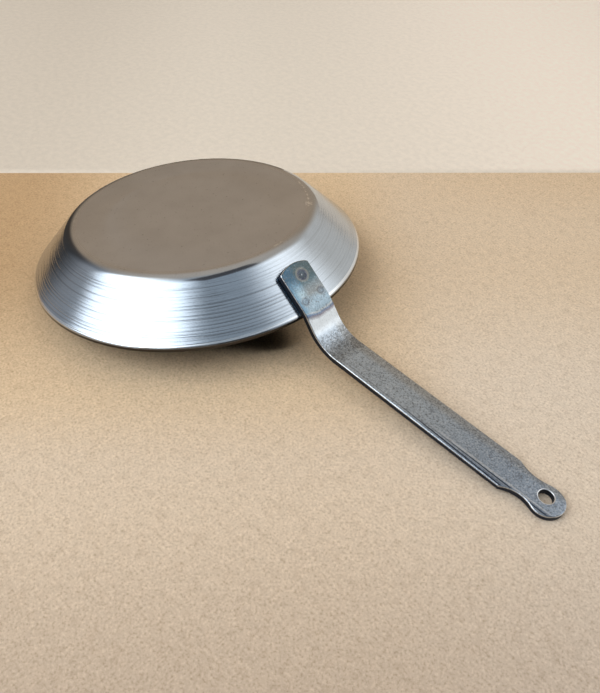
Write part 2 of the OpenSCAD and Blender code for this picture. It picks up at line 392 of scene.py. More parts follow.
def buildHandle(material):
    outline, eyeMid = stripOutline()
    holeMid = Vector((eyeMid.x - strip["holeIn"], strip["holeOff"]))
    turns = [-2 * math.pi * k / strip["holeSteps"] for k in range(strip["holeSteps"])]
    hole = [holeMid + strip["holeRadius"] * unitAt(turn) for turn in turns]
    outward = loopNormals(outline)
    holeOutward = [(holeMid - p).normalized() for p in hole]
    loops = [(outline, outward, strip["edgeRound"]), (hole, holeOutward, strip["holeRound"])]
    seeds = []
    rings = []
    for loop, normals, soft in loops:
        ring = [p - soft * n for p, n in zip(loop, normals)]
        rings.append((len(seeds), len(ring)))
        seeds += ring
    edges = [(first + k, first + (k + 1) % count) for first, count in rings for k in range(count)]
    outerRing = seeds[:rings[0][1]]
    holeRing = seeds[rings[0][1]:]
    # support points just inside each ring keep the flat faces flat right up to the rounding
    for loop, normals, soft in loops:
        seeds += [p - (soft + strip["supportIn"]) * n for p, n in zip(loop, normals)]

    def fits(point, close, gap):
        return (insideLoop(point, outerRing)
                and (point - holeMid).length > strip["holeRadius"] + strip["holeGap"]
                and all((point - p).length_squared > gap ** 2 for p in close))

    step = strip["gridStep"]
    countU = int(pathLength / step)
    countV = int(strip["width"] / 2 / step)
    nearby = outerRing + holeRing
    for i in range(1, countU):
        u = i * step
        close = [p for p in nearby if abs(p.x - u) < strip["searchReach"]]
        for j in range(-countV, countV + 1):
            point = Vector((u, j * step))
            if u > bevelZero and abs(pastCrease(u, point.y)) < strip["creaseGap"]:
                continue
            if fits(point, close, strip["gridGap"]):
                seeds.append(point)
        if u > bevelZero:  # three rows follow each crease
            crease = strip["width"] / 2 - (u - bevelZero) * math.tan(bevelTurn)
            for side in (-1, 1):
                for off in (-1, 0, 1):
                    point = Vector((u, side * (crease + off * strip["creaseRound"])))
                    if fits(point, close, strip["rowGap"]):
                        seeds.append(point)
    made = delaunay_2d_cdt(seeds, edges, [], 0, 1e-7)
    flat, triangles, origin = made[0], made[2], made[3]
    seedAt = {}
    for k, sources in enumerate(origin):
        for source in sources:
            seedAt[source] = k
    kept = []
    for face in triangles:
        mid = sum((flat[k] for k in face), Vector((0, 0))) / len(face)
        if insideLoop(mid, outerRing) and not insideLoop(mid, holeRing):
            kept.append(face)
    points = []
    plan = []
    overEdge = []  # 0 on the top face, 1 to 3 on the side, 4 below, with the roundings between

    def addPoint(u, v, z, over=0.0):
        points.append(onStrip(u, v, z))
        plan.append((u / mm, v / mm, z / mm))
        overEdge.append(over)
        return len(points) - 1

    top = [addPoint(p.x, p.y, topFace(p.x, p.y)) for p in flat]
    low = [addPoint(p.x, p.y, 0.0, 4.0) for p in flat]
    faces = [[top[k] for k in face] for face in kept]
    faces += [[low[k] for k in reversed(face)] for face in kept]
    for (first, count), (loop, normals, soft) in zip(rings, loops):
        columns = []
        for k, (p, n) in enumerate(zip(loop, normals)):
            ringAt = seedAt[first + k]
            edge = p - soft * n
            height = topFace(edge.x, edge.y)
            column = [top[ringAt]]
            drop = height - topFace(p.x, p.y)
            for j in range(1, strip["roundSteps"] + 1):
                angle = math.pi / 2 * j / strip["roundSteps"]
                place = edge + soft * math.sin(angle) * n
                z = height - drop * math.sin(angle) - soft * (1 - math.cos(angle))
                column.append(addPoint(place.x, place.y, z, j / strip["roundSteps"]))
            column.append(addPoint(p.x, p.y, (height - drop) / 2, 2.0))
            for j in range(strip["roundSteps"], 0, -1):
                angle = math.pi / 2 * j / strip["roundSteps"]
                place = edge + soft * math.sin(angle) * n
                column.append(addPoint(place.x, place.y, soft * (1 - math.cos(angle)),
                                       4.0 - j / strip["roundSteps"]))
            column.append(low[ringAt])
            columns.append(column)
        for k in range(count):
            here, there = columns[k], columns[(k + 1) % count]
            faces += [(here[j], there[j], there[j + 1], here[j + 1]) for j in range(len(here) - 1)]
    used = sorted({k for face in faces for k in face})
    newPlace = {k: n for n, k in enumerate(used)}
    faces = [[newPlace[k] for k in face] for face in faces]
    return addPiece("stripHandle", [points[k] for k in used], faces, material, ["handle"],
                    {"stripPlace": [plan[k] for k in used], "overEdge": [overEdge[k] for k in used]})


def newMaterial(name):
    material = bpy.data.materials.new(name)
    material.use_nodes = True
    tree = material.node_tree
    return material, tree, tree.nodes["Principled BSDF"]


# Adds one node: inputs by name or number, each a value or a socket to link
def addNode(tree, kind, inputs, **settings):
    node = tree.nodes.new("ShaderNode" + kind)
    for key, value in settings.items():
        setattr(node, key, value)
    for key, value in inputs.items():
        if isinstance(value, bpy.types.NodeSocket):
            tree.links.new(value, node.inputs[key])
        else:
            node.inputs[key].default_value = value
    return node


def calc(tree, operation, a, b=0.0, c=0.0):
    return addNode(tree, "Math", {0: a, 1: b, 2: c}, operation=operation).outputs[0]


def times(tree, a, b):
    return calc(tree, "MULTIPLY", a, b)


def vectorCalc(tree, operation, a, b, output="Vector"):
    return addNode(tree, "VectorMath", {0: a, 1: b}, operation=operation).outputs[output]


# Smooth rise from 0 at low to 1 at high; the ends may be given other values
def rise(tree, value, low, high, atLow=0.0, atHigh=1.0):
    node = addNode(tree, "MapRange", {"Value": value, "From Min": low, "From Max": high,
                                      "To Min": atLow, "To Max": atHigh},
                   interpolation_type="SMOOTHSTEP")
    return node.outputs["Result"]


# 1 between low and high, falling to 0 over the soft width outside them
def band(tree, value, low, high, soft):
    up = rise(tree, value, low - soft, low)
    down = rise(tree, value, high, high + soft, 1.0, 0.0)
    return times(tree, up, down)


def noiseAt(tree, place, size, detail=2.0, roughness=0.5, stretch=(1, 1, 1), shift=0.0):
    scaled = vectorCalc(tree, "MULTIPLY", place, [part / size for part in stretch])
    if shift:
        scaled = vectorCalc(tree, "ADD", scaled, (shift, shift * 0.7, shift * 1.3))
    return addNode(tree, "TexNoise", {"Vector": scaled, "Scale": 1.0, "Detail": detail,
                                      "Roughness": roughness}).outputs["Fac"]


def tint(tree, share, a, b, mode="MIX"):
    node = addNode(tree, "Mix", {0: share, 6: a, 7: b}, data_type="RGBA", blend_type=mode)
    return node.outputs[2]


def shade(colour, amount):
    return tuple(part * amount for part in colour[:3]) + (1,)


# Colour ramp over a value in millimetres, from a list of (millimetres, colour)
def colourRun(tree, value, stops):
    low, high = stops[0][0], stops[-1][0]
    node = addNode(tree, "ValToRGB", {"Fac": rise(tree, value, low, high)})
    node.inputs["Fac"].links[0].from_node.interpolation_type = "LINEAR"
    elements = node.color_ramp.elements
    while len(elements) < len(stops):
        elements.new(0.5)
    for element, (at, colour) in zip(elements, stops):
        element.position = (at - low) / (high - low)
        element.color = colour
    return node.outputs["Color"]


def markValue(tree, name, output):
    return addNode(tree, "Attribute", {}, attribute_name=name).outputs[output]


def bumpFrom(tree, heights):
    normal = None
    for height, depth in heights:
        inputs = {"Height": height, "Distance": depth * mm, "Strength": 1.0}
        if normal:
            inputs["Normal"] = normal
        normal = addNode(tree, "Bump", inputs).outputs["Normal"]
    return normal


# Pan steel: satin base, smoother bend, and a wall with turned rings. Lengths are in millimetres, and a run
# is the way along the sheet from the middle of the base outside
panFinish = {
    "steel": (0.535, 0.58, 0.63, 1),
    "steelDull": (0.50, 0.54, 0.585, 1),
    # dark colour for the oxide, the ring lines and the painted shade inside the pan
    "oxideAndShade": (0.13, 0.125, 0.12, 1),
    # pale colour for the scuffs and for the painted highlight along the rim
    "scuffAndHighlight": (0.90, 0.91, 0.92, 1),
    # near-black painted shade on the cut edge
    "cutEdgeShade": (0.055, 0.05, 0.045, 1),
    # warm tint on the base, a painted reflection of the warm room it faces
    "baseWarmReflection": (1.13, 1.04, 0.97, 1),
    # light scuffs: azimuths and runs they lie between, and how strong they are
    "scuffs": [(42, 68, 83.8, 84.6, 0.9), (43, 45, 82.0, 86.5, 0.6), (1, 5, 83.6, 84.4, 0.5),
               (150, 176, 83.6, 84.4, 0.5), (-150, -118, 84.0, 84.5, 0.25)],
    "baseRoughness": 0.32,
    "bendRoughness": 0.13,
    "wallRoughness": 0.20,
    "brushed": 0.35,
    "ringPitch": 2.15,
    "ringReach": 0.012,  # how fast the rings change on their way round
    "quietSide": (5, 95, 12),  # azimuths where they are fainter, and how softly that sets in
    "ringDepth": 0.062,
    "dashDepth": 0.03,
    "wideDepth": 0.005,
    "grainDepth": 0.004,
    "lineTone": 0.26,
    "bendEnd": 92.6,  # runs at which the bend and the wall end and the inside starts
    "wallEnd": 132.9,
    "insideStart": 136.5,
}


def makePanSteel():
    material, tree, surface = newMaterial("panSteel")
    look = panFinish
    run = markValue(tree, "panRun", "Fac")
    place = markValue(tree, "panPlace", "Vector")
    parts = addNode(tree, "SeparateXYZ", {"Vector": place})
    x, y = parts.outputs["X"], parts.outputs["Y"]
    # rings: along the run they are fine, round the pan they go on for a while and then break
    ringPlace = addNode(tree, "CombineXYZ", {"X": run, "Y": times(tree, x, look["ringReach"]),
                                             "Z": times(tree, y, look["ringReach"])}).outputs["Vector"]
    ringFine = noiseAt(tree, ringPlace, 1.05, 2.0, 0.6)
    dashPlace = vectorCalc(tree, "MULTIPLY", ringPlace, (1, 9, 9))
    ringDash = noiseAt(tree, dashPlace, 1.0, 2.0, 0.6, shift=3.0)
    ringWide = noiseAt(tree, ringPlace, 2.2, 2.0, 0.5, shift=7.0)
    ringFade = noiseAt(tree, ringPlace, 1.4, 2.0, 0.5, shift=31.0)
    patches = noiseAt(tree, place, 11.0, 3.0, 0.55)
    speckle = noiseAt(tree, place, 0.5, 3.0, 0.65)
    cloud = noiseAt(tree, place, 40.0, 2.0, 0.5)

    ragged = calc(tree, "MULTIPLY_ADD", patches, 0.9, calc(tree, "MULTIPLY_ADD", ringWide, 0.5, -0.7))
    shifted = calc(tree, "ADD", run, ragged)
    wall = times(tree, rise(tree, shifted, look["bendEnd"] - 0.3, look["bendEnd"] + 0.3),
                 rise(tree, run, look["wallEnd"], look["wallEnd"] + 0.3, 1.0, 0.0))
    bend = times(tree, rise(tree, run, 80.0, 89.0), calc(tree, "SUBTRACT", 1.0, wall))

    # the tool leaves a line at each pass, and every line wanders and fades on its way round the pan
    turn = calc(tree, "MULTIPLY_ADD", ringWide, 0.8, calc(tree, "DIVIDE", run, look["ringPitch"]))
    passes = calc(tree, "SINE", times(tree, turn, 2 * math.pi))
    azimuth = calc(tree, "DEGREES", calc(tree, "ARCTAN2", y, x))
    worked = times(tree, wall, calc(tree, "SUBTRACT", 1.0, band(tree, azimuth, *look["quietSide"])))
    worked = calc(tree, "MULTIPLY_ADD", worked, 0.55, times(tree, wall, 0.45))
    strength = times(tree, rise(tree, ringFade, 0.36, 0.62), worked)
    line = times(tree, rise(tree, passes, -0.3, 1.0), strength)

    colour = tint(tree, rise(tree, cloud, 0.3, 0.7), look["steel"], look["steelDull"])
    # painted reflection: the base is tinted warmer
    colour = tint(tree, rise(tree, run, 92.0, 82.0), colour, look["baseWarmReflection"], "MULTIPLY")
    colour = tint(tree, rise(tree, patches, 0.4, 0.8, 0.0, 0.06), colour, look["oxideAndShade"])
    colour = tint(tree, rise(tree, speckle, 0.5, 0.8, 0.0, 0.30), colour, look["oxideAndShade"])
    colour = tint(tree, times(tree, line, look["lineTone"]), colour, look["oxideAndShade"])
    fineTone = times(tree, rise(tree, ringFine, 0.52, 0.75), wall)
    colour = tint(tree, times(tree, fineTone, look["lineTone"] * 0.7), colour, look["oxideAndShade"])
    pits = noiseAt(tree, place, 1.5, 1.0, 0.5, shift=41.0)
    base = rise(tree, run, 83.0, 90.0, 1.0, 0.0)
    colour = tint(tree, times(tree, rise(tree, pits, 0.70, 0.80, 0.0, 0.6), base), colour, look["oxideAndShade"])
    dashes = rise(tree, noiseAt(tree, place, 2.6, 2.0, 0.5, shift=53.0), 0.46, 0.56)
    dashes = calc(tree, "MAXIMUM", dashes, times(tree, rise(tree, pits, 0.32, 0.26), 0.5))
    for fromAzimuth, toAzimuth, fromRun, toRun, amount in look["scuffs"]:
        spot = times(tree, band(tree, azimuth, fromAzimuth, toAzimuth, 2.0),
                     band(tree, run, fromRun, toRun, 0.5))
        spot = times(tree, times(tree, spot, dashes), amount)
        colour = tint(tree, spot, colour, look["scuffAndHighlight"])
    # the inside is painted darker, as painted shade that deepens the shadow under the pan; the wall ends
    # in a pale line, a painted highlight on the rim's rounding; and the cut edge is painted black, as
    # painted shade
    inside = rise(tree, run, look["insideStart"], look["insideStart"] + 1.0, 0.0, 0.6)
    colour = tint(tree, inside, colour, look["oxideAndShade"])
    # painted highlight along the rim's rounding
    dressed = band(tree, run, look["wallEnd"] - 2.1, look["wallEnd"] - 0.7, 0.5)
    colour = tint(tree, times(tree, dressed, 0.7), colour, look["scuffAndHighlight"])
    # painted shade: the cut edge is near-black
    paintedCutShade = band(tree, run, look["wallEnd"] + 0.5, look["insideStart"], 0.4)
    colour = tint(tree, paintedCutShade, colour, look["cutEdgeShade"])
    links = tree.links
    links.new(colour, surface.inputs["Base Color"])
    surface.inputs["Metallic"].default_value = 1
    surface.inputs["Anisotropic"].default_value = look["brushed"]

    rough = calc(tree, "MULTIPLY_ADD", bend, look["bendRoughness"] - look["baseRoughness"],
                 look["baseRoughness"])
    rough = calc(tree, "MULTIPLY_ADD", wall, look["wallRoughness"] - look["baseRoughness"], rough)
    links.new(calc(tree, "MULTIPLY_ADD", calc(tree, "SUBTRACT", speckle, 0.5), 0.1, rough),
              surface.inputs["Roughness"])

    # the gloss stretches across the rings: along the radial direction, tilted with the pan
    panMid = laidDown @ Vector((0, 0, 0))
    axis = laidDown.to_3x3() @ Vector((0, 0, 1))
    here = addNode(tree, "TexCoord", {}).outputs["Object"]
    fromMid = vectorCalc(tree, "SUBTRACT", here, panMid)
    height = vectorCalc(tree, "DOT_PRODUCT", fromMid, axis, "Value")
    up = addNode(tree, "VectorMath", {0: axis, "Scale": height}, operation="SCALE").outputs["Vector"]
    radial = vectorCalc(tree, "SUBTRACT", fromMid, up)
    along = addNode(tree, "VectorMath", {0: radial}, operation="NORMALIZE").outputs["Vector"]
    straight = laidDown.to_3x3() @ Vector((1, 0, 0))  # near the middle it runs one way
    mixed = addNode(tree, "Mix", {0: rise(tree, run, 40.0, 78.0), 4: straight, 5: along},
                    data_type="VECTOR").outputs[1]
    links.new(mixed, surface.inputs["Tangent"])

    heights = [(times(tree, calc(tree, "SUBTRACT", rings, 0.5), wall), look[depth]) for rings, depth in
               ((ringWide, "wideDepth"), (ringFine, "ringDepth"), (ringDash, "dashDepth"))]
    heights += [(calc(tree, "SUBTRACT", 0.0, line), look["ringDepth"]), (speckle, look["grainDepth"])]
    links.new(bumpFrom(tree, heights), surface.inputs["Normal"])
    return material


# Handle steel: heat colours on the tab, a bright stretch behind it, a mottled grip, worn edges. Places on
# it are in millimetres: u along the strip from the tab's end, v across it
handleFinish = {
    "bright": (0.72, 0.75, 0.77, 1),
    "grip": (0.51, 0.585, 0.67, 1),
    "gripDark": (0.15, 0.15, 0.15, 1),
    "slate": (0.115, 0.165, 0.20, 1),
    "teal": (0.125, 0.155, 0.155, 1),
    "straw": (0.15, 0.145, 0.125, 1),
    "ash": (0.22, 0.235, 0.235, 1),
    "paleBlue": (0.28, 0.355, 0.405, 1),
    "frost": (0.34, 0.43, 0.465, 1),
    "cream": (0.50, 0.52, 0.52, 1),
    "deepBlue": (0.19, 0.26, 0.38, 1),
    "plum": (0.27, 0.24, 0.27, 1),
    "halo": (0.26, 0.235, 0.20, 1),
    "dimmed": (0.58, 0.72, 0.82, 1),
    "tabEnd": (0.72, 0.86, 0.92, 1),
    "inkPurple": (0.055, 0.06, 0.09, 1),
    # near-black for the scored lines and the side faces, there partly their own dark tint, partly painted
    # shade
    "darkTintAndShade": (0.035, 0.042, 0.06, 1),
    "bareEdge": (0.86, 0.87, 0.88, 1),
    "gripWarm": (0.42, 0.42, 0.41, 1),
    "tipCooler": (0.66, 0.70, 0.77, 1),
    # heat colours by the distance from the tab's end: left of its middle, right of it, then both
    "leftHeat": [(0, "slate"), (11, "slate"), (16, "paleBlue"), (21, "frost"), (26, "paleBlue")],
    "rightHeat": [(0, "teal"), (3, "straw"), (10, "straw"), (14, "teal"), (18, "ash"), (23, "ash"),
                  (27, "paleBlue")],
    "fringe": [(33, "paleBlue"), (33.9, "cream"), (34.9, "deepBlue"), (36.2, "plum"), (38.4, "bright"),
               (44, "bright")],
    "prints": [(1.0, 3.8), (0.5, 2.6), (0.5, 2.6)],  # how strong each weld's print is, and its radius
    "roughness": 0.34,
    "grainDepth": 0.02,
    "scoreDepth": 0.04,
    "darkGrain": 0.75,
    "bareGrain": 0.45,
    "facetTone": 0.7,
    "lineAt": 7.63,  # the first line lies this far left of the middle at u = 0, and drifts further left
    "lineDrift": 0.0185,
}


def makeHandleSteel():
    material, tree, surface = newMaterial("handleSteel")
    look = handleFinish
    links = tree.links
    place = markValue(tree, "stripPlace", "Vector")
    parts = addNode(tree, "SeparateXYZ", {"Vector": place})
    u, v = parts.outputs["X"], parts.outputs["Y"]
    overEdge = markValue(tree, "overEdge", "Fac")
    speckle = noiseAt(tree, place, 1.05, 2.0, 0.7)
    blotch = noiseAt(tree, place, 1.9, 2.0, 0.55)
    cloud = noiseAt(tree, place, 7.5, 2.0, 0.5)
    streaks = noiseAt(tree, place, 1.0, 2.0, 0.5, stretch=(0.08, 1, 1))

    # heat colours follow the distance to the rim's fringe, which bows a little
    bow = times(tree, times(tree, v, v), 0.0119)
    heat = calc(tree, "ADD", calc(tree, "MULTIPLY_ADD", v, -0.047, u), bow)
    heat = calc(tree, "ADD", heat, calc(tree, "MULTIPLY_ADD", cloud, 2.4, -1.2))
    left, right = [colourRun(tree, heat, [(at, look[tone]) for at, tone in look[side] + look["fringe"]])
                   for side in ("leftHeat", "rightHeat")]
    heated = tint(tree, rise(tree, calc(tree, "MULTIPLY_ADD", cloud, 5.0, v), -2.5, 2.0), left, right)

    # darker towards the tab's end and its left edge
    dim = calc(tree, "MAXIMUM", rise(tree, u, 24.0, 4.0), rise(tree, v, -6.5, -11.0))
    dim = times(tree, dim, rise(tree, u, 37.0, 33.0))
    heated = tint(tree, dim, heated, look["dimmed"], "MULTIPLY")
    heated = tint(tree, rise(tree, u, 21.0, 12.0), heated, look["tabEnd"], "MULTIPLY")
    # each weld leaves a print: a light middle, two dark rings with a paler one between, a straw halo
    for (up, across), (strength, size) in zip(strip["markUps"], look["prints"]):
        centre = ((strip["tabLength"] - up) / mm, across / mm, strip["thick"] / mm)
        away = vectorCalc(tree, "DISTANCE", place, centre, "Value")
        away = calc(tree, "MULTIPLY_ADD", calc(tree, "SUBTRACT", blotch, 0.5), 0.9, away)
        away = calc(tree, "DIVIDE", away, size)
        halo = times(tree, band(tree, away, 0.95, 1.15, 0.35), strength * 0.5)
        heated = tint(tree, halo, heated, look["halo"])
        ring = calc(tree, "MAXIMUM", band(tree, away, 0.60, 0.92, 0.14),
                    band(tree, away, 0.20, 0.36, 0.08))
        heated = tint(tree, times(tree, ring, strength * 0.8), heated, look["inkPurple"])
        heated = tint(tree, rise(tree, away, 0.14, 0.10, 0.0, strength * 0.5), heated, look["cream"])

    # beyond the bright stretch the grip is dark and mottled, warmer on its right and cooler at the tip
    gripTone = tint(tree, rise(tree, cloud, 0.35, 0.7), look["grip"], shade(look["grip"], 0.88))
    gripTone = tint(tree, rise(tree, v, 3.0, 8.5, 0.0, 0.85), gripTone, look["gripWarm"])
    gripTone = tint(tree, rise(tree, u, 110.0, 200.0), gripTone, look["tipCooler"], "MULTIPLY")
    gripTone = tint(tree, rise(tree, blotch, 0.5, 0.75, 0.0, 0.25), gripTone, look["gripDark"])
    edgeOfGrip = calc(tree, "MULTIPLY_ADD", cloud, 6.0, u)
    colour = tint(tree, rise(tree, edgeOfGrip, 47.0, 56.0), heated, gripTone)
    leather = times(tree, band(tree, u, 54.0, 71.0, 7.0),
                    rise(tree, blotch, 0.35, 0.65, 0.35, 0.75))  # where it leaves the bend
    colour = tint(tree, leather, colour, look["gripDark"])

    # fine grain, dark and bare by turns
    silver = band(tree, u, 38.0, 50.0, 4.0)
    grain = times(tree, rise(tree, speckle, 0.50, 0.68, 0.0, look["darkGrain"]),
                  calc(tree, "MULTIPLY_ADD", silver, -0.75, 1.0))
    colour = tint(tree, grain, colour, look["gripDark"])
    bare = times(tree, rise(tree, speckle, 0.48, 0.34, 0.0, look["bareGrain"]),
                 rise(tree, u, 34.0, 40.0, 0.3, 1.0))
    colour = tint(tree, bare, colour, look["bright"])
    colour = tint(tree, rise(tree, streaks, 0.55, 0.8, 0.0, 0.3), colour, look["gripDark"])

    # two scored lines run along the left edge, the bevel beyond them is darkened with a hatch, and pale
    # lines lie inside them
    onTop = rise(tree, overEdge, 0.02, 0.15, 1.0, 0.0)
    fromLine = calc(tree, "ADD", v, calc(tree, "MULTIPLY_ADD", u, look["lineDrift"], look["lineAt"]))
    firstLine = times(tree, band(tree, fromLine, -0.2, 0.2, 0.3),
                      times(tree, rise(tree, u, 74.0, 86.0), rise(tree, u, 100.0, 165.0, 0.35, 1.0)))
    secondLine = times(tree, band(tree, v, -9.05, -8.8, 0.3), rise(tree, u, 132.0, 175.0))
    lines = calc(tree, "MAXIMUM", firstLine, secondLine)
    hatch = noiseAt(tree, place, 0.9, 2.0, 0.6, stretch=(1, 0.3, 1), shift=11.0)
    facet = times(tree, rise(tree, fromLine, -0.3, -0.8), rise(tree, hatch, 0.4, 0.6, 0.2, 0.95))
    facet = times(tree, facet, rise(tree, u, 140.0, 190.0, 0.0, look["facetTone"]))
    scored = times(tree, calc(tree, "MAXIMUM", lines, facet), onTop)
    paleLine = times(tree, band(tree, v, -7.9, -7.2, 0.5), rise(tree, u, 132.0, 165.0, 0.0, 0.35))
    paleBetween = times(tree, band(tree, v, -9.9, -9.55, 0.25), rise(tree, u, 140.0, 170.0, 0.0, 0.3))
    paleLines = times(tree, calc(tree, "MAXIMUM", paleLine, paleBetween), onTop)
    colour = tint(tree, paleLines, colour, look["bareEdge"])
    colour = tint(tree, scored, colour, look["darkTintAndShade"])

    # side faces are painted near-black, partly their own dark tint and partly painted shade; the roundings
    # over them are worn bright, less so at the tip
    # painted shade on the side faces and in the hole
    sides = band(tree, overEdge, 1.1, 3.2, 0.35)
    colour = tint(tree, sides, colour, look["darkTintAndShade"])
    shoulder = times(tree, band(tree, overEdge, 0.16, 0.45, 0.12), rise(tree, u, 60.0, 90.0, 0.0, 0.6))
    colour = tint(tree, shoulder, colour, look["gripDark"])
    wear = rise(tree, noiseAt(tree, place, 2.6, 2.0, 0.6, shift=23.0), 0.3, 0.6, 0.45, 1.0)
    worn = times(tree, band(tree, overEdge, 0.5, 0.8, 0.25), wear)
    spared = times(tree, rise(tree, u, 125.0, 150.0), rise(tree, u, 190.0, 200.0, 0.6, 0.0))
    worn = times(tree, worn, calc(tree, "SUBTRACT", 1.0, spared))
    hole = ((gripZero + strip["gripLength"] - strip["eyeRadius"] - strip["holeIn"]) / mm,
            strip["holeOff"] / mm, strip["thick"] / mm)
    fromHole = vectorCalc(tree, "DISTANCE", place, hole, "Value")
    holeEdge = strip["holeRadius"] / mm
    rubbed = times(tree, band(tree, fromHole, holeEdge + 0.1, holeEdge + 0.45, 0.25),
                   rise(tree, overEdge, 0.8, 1.1, 1.0, 0.0))
    colour = tint(tree, calc(tree, "MAXIMUM", worn, rubbed), colour, look["bareEdge"])
    links.new(colour, surface.inputs["Base Color"])
    surface.inputs["Metallic"].default_value = 1
    rough = calc(tree, "MULTIPLY_ADD", calc(tree, "SUBTRACT", blotch, 0.5), 0.2, look["roughness"])
    rough = calc(tree, "MULTIPLY_ADD", sides, 0.2, rough)
    links.new(rough, surface.inputs["Roughness"])
    heights = [(blotch, look["grainDepth"] * 2), (speckle, look["grainDepth"]),
               (scored, -look["scoreDepth"])]
    links.new(bumpFrom(tree, heights), surface.inputs["Normal"])
    return material


# Weld steel: blued and pitted, hidden in the gap under the tab
weldFinish = {
    "blued": (0.12, 0.13, 0.17, 1),
    "bare": (0.32, 0.31, 0.30, 1),
    "roughness": 0.5,
    "pitSize": 0.5,
    "pitDepth": 0.03,
}


def makeWeldSteel():
    material, tree, surface = newMaterial("weldSteel")
    look = weldFinish
    here = addNode(tree, "TexCoord", {}).outputs["Object"]
    pits = noiseAt(tree, here, look["pitSize"] * mm, 3.0, 0.6)
    colour = tint(tree, rise(tree, pits, 0.4, 0.65), look["blued"], look["bare"])
    tree.links.new(colour, surface.inputs["Base Color"])
    surface.inputs["Metallic"].default_value = 1
    rough = calc(tree, "MULTIPLY_ADD", pits, 0.3, look["roughness"] - 0.15)
    tree.links.new(rough, surface.inputs["Roughness"])
    tree.links.new(bumpFrom(tree, [(pits, look["pitDepth"])]), surface.inputs["Normal"])
    return material


panSteel = makePanSteel()
handleSteel = makeHandleSteel()
weldSteel = makeWeldSteel()
print("steel finishes mixed")

pressedPan = buildPan(panSteel)
print("pan turned:", len(pressedPan.data.vertices), "points")
stripHandle = buildHandle(handleSteel)
print("handle bent:", len(stripHandle.data.vertices), "points")
for name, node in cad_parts.items():
    if name.startswith("weld"):
        node.data.materials.clear()
        node.data.materials.append(weldSteel)


# Studio: a warm paper floor, a paler sheet beyond it, two soft boxes and a dim room
studio = {
    "floorColour": (0.81, 0.608, 0.416, 1),
    "sheetColour": (0.87, 0.74, 0.60, 1),
    # washes: where each sets in and is full, along the papers' edge and back from it, and its colour; on
    # the floor they are painted light and shade: cooler light towards the camera and darker nearest it,
    # warmer towards the far edge, and warm painted shade beside the pan
    "floorLightWashes": [(-0.11, -0.25, -0.31, -0.12, (0.73, 0.65, 0.56, 1)),
                    (-0.9, -0.8, -0.15, -0.29, (1.0, 1.03, 1.09, 1)),
                    (-0.02, 0.16, -0.12, -0.28, (1.04, 1.08, 1.14, 1)),
                    (-0.9, -0.8, -0.34, -0.47, (0.80, 0.79, 0.80, 1)),
                    (-0.1, 0.25, -0.10, 0.0, (0.98, 0.94, 0.88, 1)),
                    (0.10, 0.02, -0.33, -0.26, (1.01, 0.95, 0.84, 1))],
    # on the sheet: darker towards one end, brighter towards the other
    "sheetWashes": [(-0.05, -0.30, 0.0, 0.01, (0.86, 0.85, 0.84, 1)),
                    (-0.05, 0.35, 0.0, 0.01, (1.22, 1.21, 1.22, 1))],
    "fleckDark": (0.58, 0.50, 0.42, 1),
    "fleckLight": (1.28, 1.33, 1.38, 1),
    "fibreDark": (0.75, 0.70, 0.65, 1),
    "paperMottle": 6 * mm,
    "paperTooth": 1.5 * mm,
    "paperRoughness": 0.9,
    "paperShine": 0.1,
    "floorGrain": 0.55,
    "sheetGrain": 0.12,
    "reach": 3.0,
    "panSpot": (-0.05, 0, 0.03),  # what the lamps and cards are turned to
    "room": (0.22, 0.255, 0.30, 1),
    # parts of the room with other colours: azimuth, elevation, how near to that they start and are full
    "roomParts": [(115, 12, 0.1, 0.65, (0.43, 0.34, 0.25, 1)),
                  (64, 10, 0.60, 0.93, (0.72, 0.70, 0.66, 1)),
                  (0, 90, 0.55, 0.80, (0.565, 0.515, 0.455, 1)),
                  (-45, 45, 0.45, 0.85, (0.36, 0.42, 0.48, 1))],
    # azimuth, elevation, distance, width, height, radiance, and how soft sides, foot and head are
    "softBoxes": {
        "keyBox": (-109, 47, 2.2, 2.95, 2.8, 2.65, 0.2, 0.12, 0.45),
        "sideBox": (43, 38, 2.4, 2.9, 2.8, 1.3, 0.5, 0.35, 0.35),
    },
    "boxColour": (0.89, 0.96, 1.02),
    # height above the table and outline
    "rimFlag": (0.005, [(-0.044, -0.086), (-0.018, -0.058), (-0.004, -0.044), (0.009, -0.034),
                        (0.017, -0.022), (0.019, -0.012), (0.015, -0.003), (0.006, 0.002),
                        (-0.03, 0.0), (-0.08, -0.03)]),
    "leftCard": {
        "radius": 0.235,
        "azimuths": (-235, -112),
        "foot": 0.003,
        "head": 0.19,
        "steps": 24,
        "brighter": (60, 150, 1.0, 1.5),  # between which heights in millimetres it gets how much brighter
        "softSide": 28,  # degrees over which its right end fades
        "topLine": (-178, -155, 15, 110),  # azimuths over which the line where its top sets in climbs
        "softTop": 75,
        "tones": [(-235, (0.15, 0.115, 0.08, 1)), (-185, (0.08, 0.062, 0.045, 1)),
                  (-164, (0.06, 0.05, 0.042, 1)), (-150, (0.055, 0.055, 0.057, 1)),
                  (-144, (0.13, 0.135, 0.145, 1)), (-136, (0.30, 0.31, 0.33, 1)),
                  (-112, (0.45, 0.46, 0.47, 1))],
    },
    # azimuth, elevation, distance, width, height, tone, then whether the gloss sees it and it shades
    "blackCards": {
        "cardAbove": (4, 82.5, 3.4, 2.4, 1.3, 0.08, True, False),
        "cardFront": (-42, 18, 1.0, 1.85, 0.7, 0.02, True, True),
        "cardBeside": (36, 6, 1.1, 2.3, 0.27, 0.02, False, True),
    },
}


def addPlane(name, corners, material):
    mesh = bpy.data.meshes.new(name)
    mesh.from_pydata(corners, [], [tuple(range(len(corners)))])
    mesh.materials.append(material)
    plane = addObject(name, mesh)
    return plane


edgePoint = Vector((-0.139, 0.156, 0))  # far edge of the brown paper
edgeAlong = Vector((0.674, 0.739, 0))
edgeBack = Vector((-edgeAlong.y, edgeAlong.x, 0))
